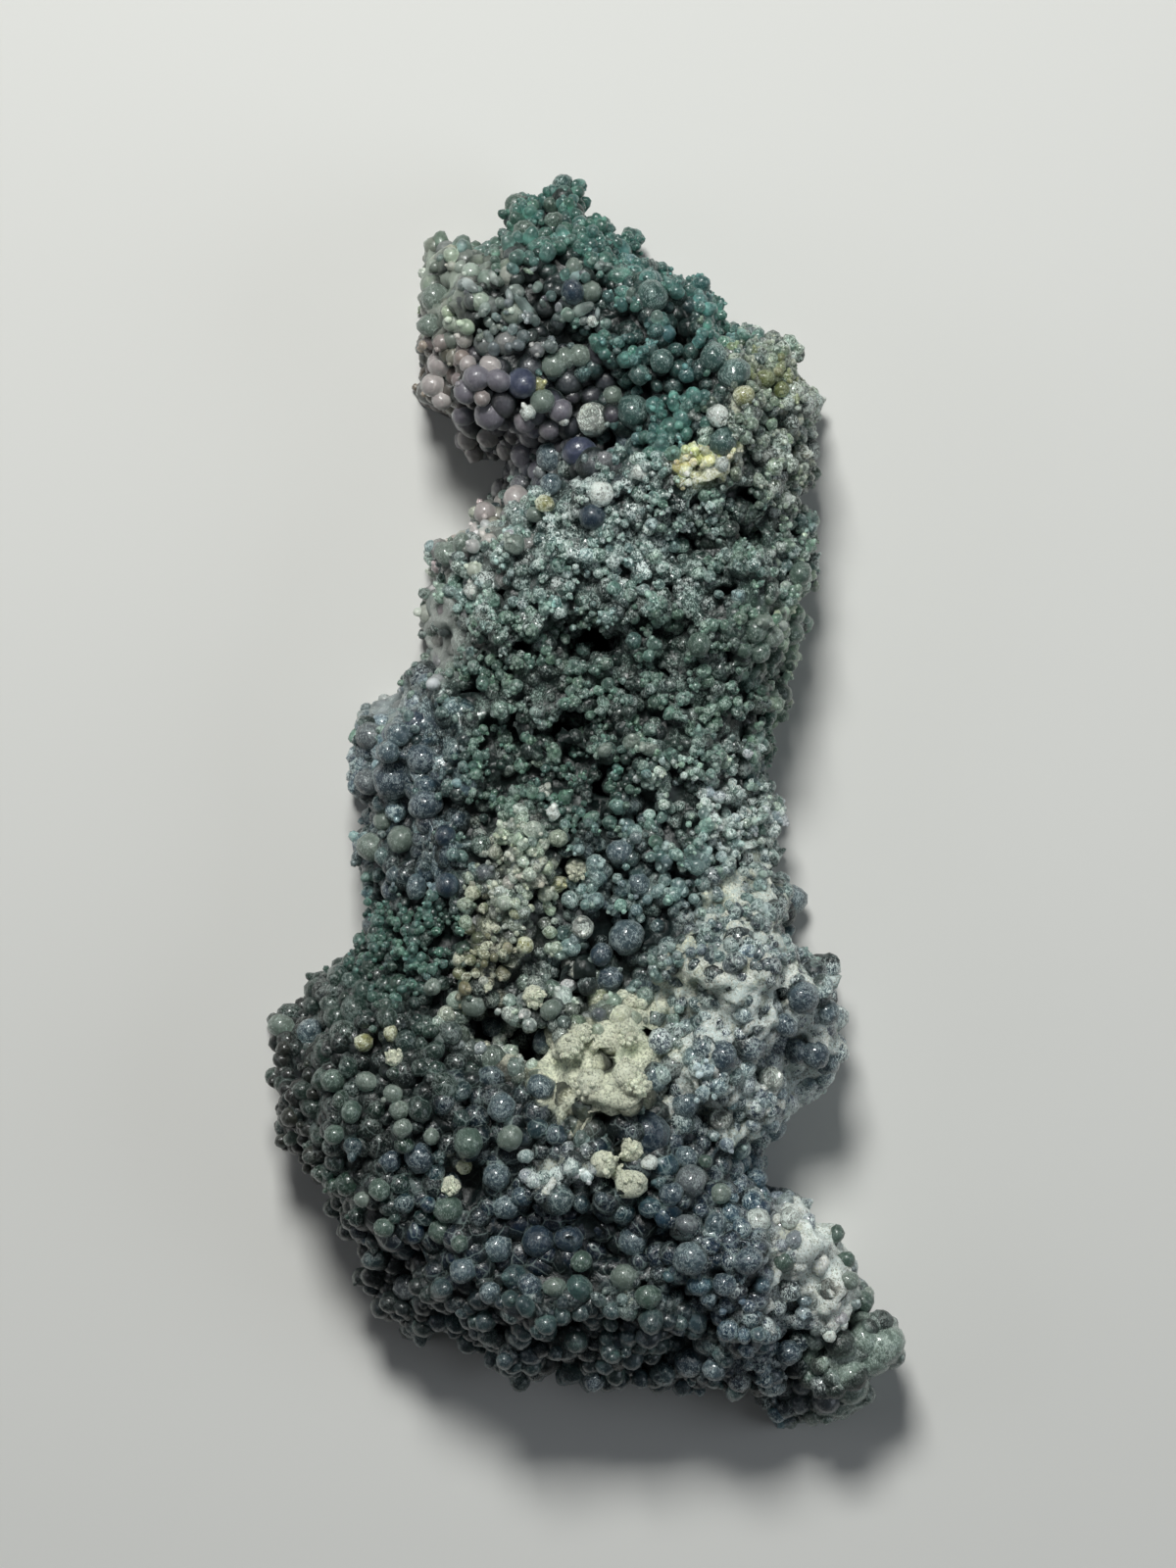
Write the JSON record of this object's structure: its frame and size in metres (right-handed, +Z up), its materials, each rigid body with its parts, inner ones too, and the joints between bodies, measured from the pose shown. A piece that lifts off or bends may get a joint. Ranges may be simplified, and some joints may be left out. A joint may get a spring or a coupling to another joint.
{
  "type": "botryoidal chalcedony specimen",
  "caption": "Long, thick mineral specimen of fused grape-like chalcedony balls, cut off flat underneath, where it grew on rock, to rest on that cut.",
  "frame": {"origin": "centre of the specimen's plan on the flat cut base", "axes": "+Z up, away from the cut base; +Y along the length, towards the narrow crown; +X to the right when seen from above with the crown at the far end"},
  "size_m": [0.0818, 0.1606, 0.036],
  "materials": {
    "chalcedony": "grey-green, slate-blue and cream fused balls, waxy where bare and dusted with white frost in the creases"
  },
  "bodies": {
    "root": {"botryoidal_chalcedony": "chalcedony"}
  },
  "joints": []
}
